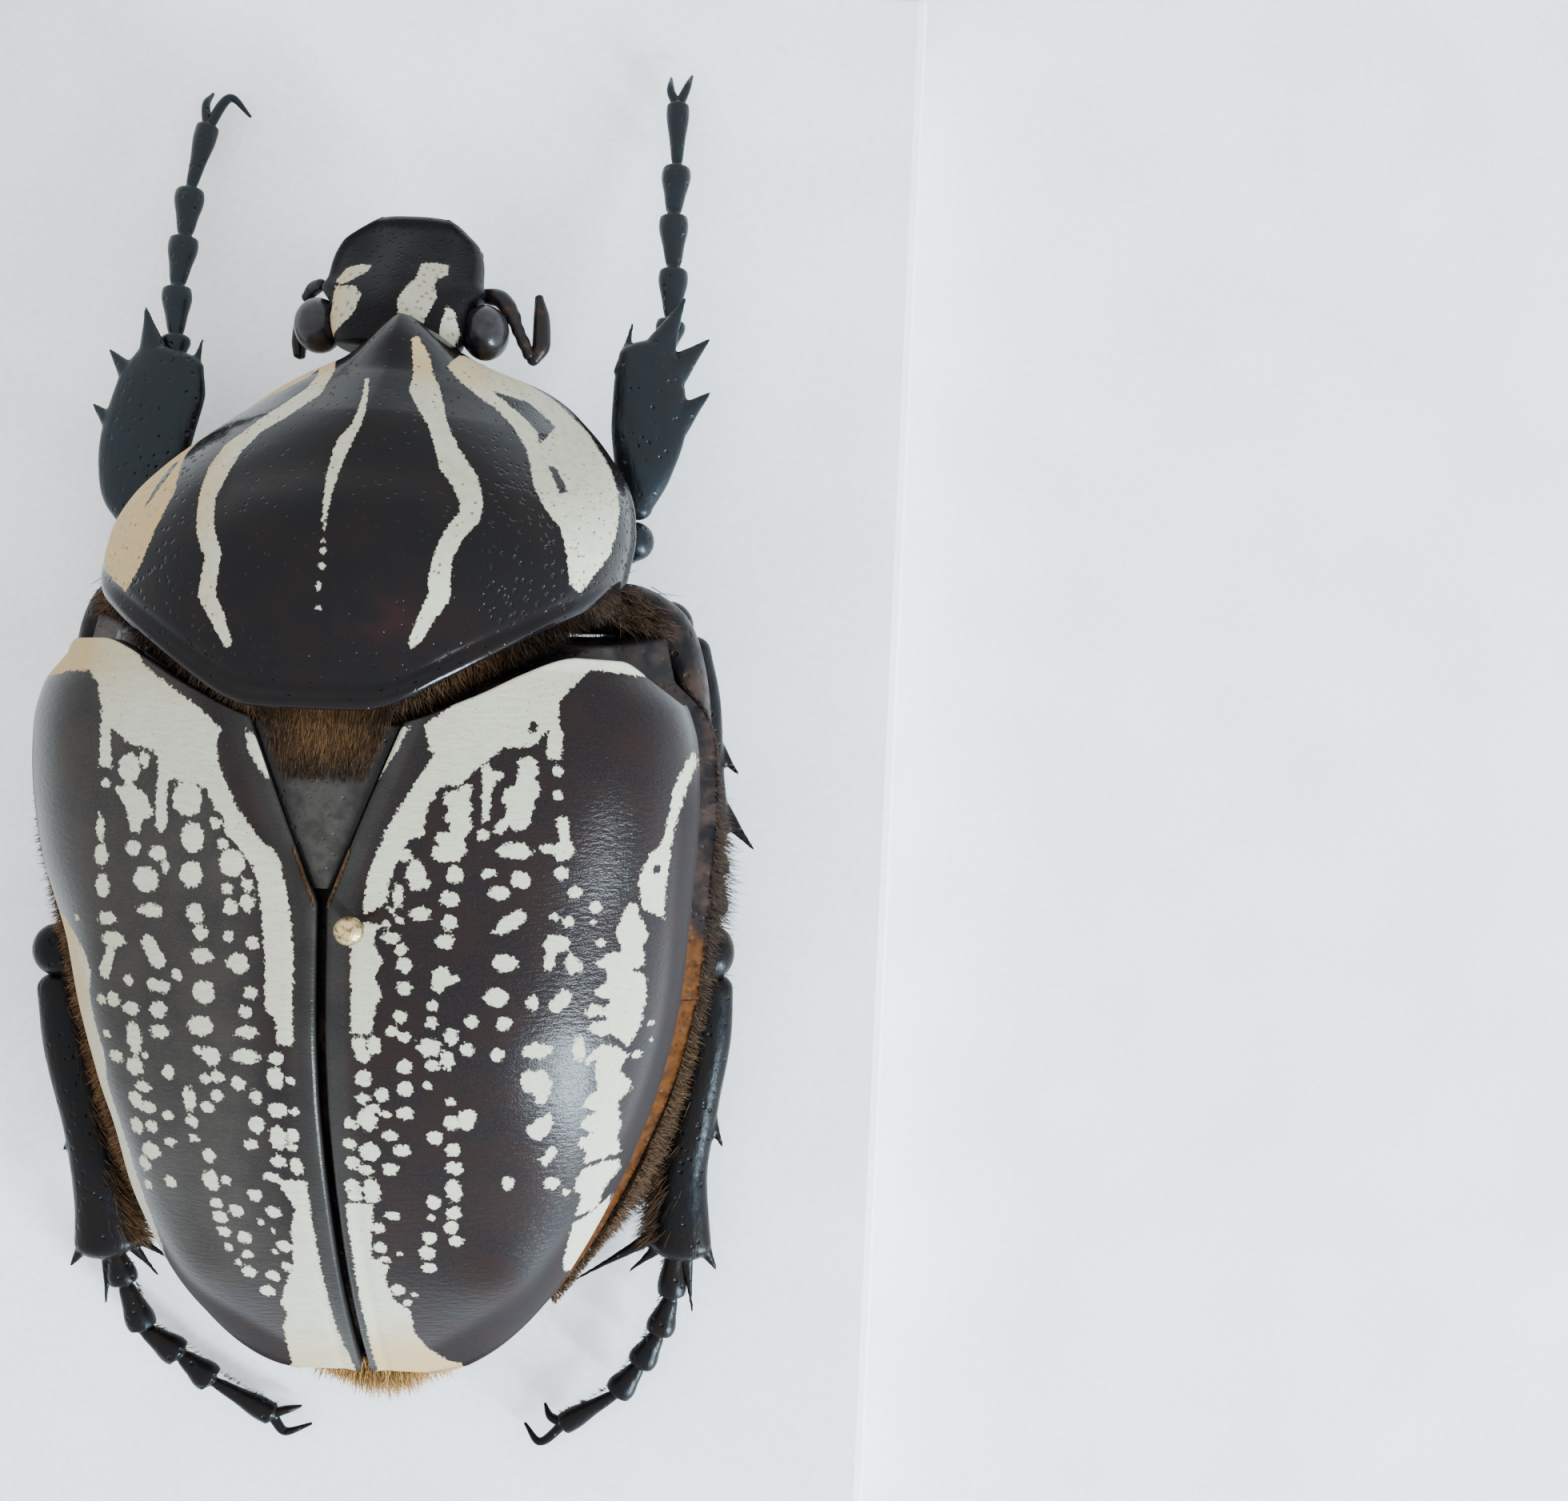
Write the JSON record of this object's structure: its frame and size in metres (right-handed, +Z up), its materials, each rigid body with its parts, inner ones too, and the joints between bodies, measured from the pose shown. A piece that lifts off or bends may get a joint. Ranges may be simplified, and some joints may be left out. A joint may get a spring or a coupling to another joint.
{
  "type": "pinned goliath beetle model",
  "caption": "Life-size goliath beetle with closed striped wing cases and spread legs, pinned to a small white foam board as a still museum display.",
  "frame": {"origin": "centre of the foam board's underside", "axes": "+Y from the beetle's tail to its head, +X to the beetle's right, +Z up"},
  "size_m": [0.06, 0.1, 0.0339],
  "materials": {
    "black_chitin": "glossy black chitin",
    "brown_chitin": "satin brown-black chitin",
    "rust_chitin": "rust brown chitin with short hair",
    "wing_case": "polished black-brown wing case with cream markings",
    "eye": "very glossy black",
    "pin_brass": "drawn brass",
    "foam": "matte white expanded foam"
  },
  "bodies": {
    "root": {"foam_board": "foam", "pin": "pin_brass", "head": "black_chitin", "mouthparts": "brown_chitin", "eye_left": "eye", "eye_right": "eye", "antenna_left": "brown_chitin", "antenna_left_club": "brown_chitin", "antenna_right": "brown_chitin", "antenna_right_club": "brown_chitin", "prothorax": "black_chitin", "scutellum": "black_chitin", "elytron_left": "wing_case", "elytron_right": "wing_case", "thorax": "brown_chitin", "abdomen": "rust_chitin", "femur_front_left": "black_chitin", "femur_front_right": "black_chitin", "femur_middle_left": "black_chitin", "femur_middle_right": "black_chitin", "femur_hind_left": "black_chitin", "femur_hind_right": "black_chitin", "tibia_front_left": "black_chitin", "tibia_front_right": "black_chitin", "tibia_middle_left": "black_chitin", "tibia_middle_right": "black_chitin", "tibia_hind_left": "black_chitin", "tibia_hind_right": "black_chitin", "tarsus_front_left": "black_chitin", "tarsus_front_right": "black_chitin", "tarsus_middle_left": "black_chitin", "tarsus_middle_right": "black_chitin", "tarsus_hind_left": "black_chitin", "tarsus_hind_right": "black_chitin"}
  },
  "joints": []
}
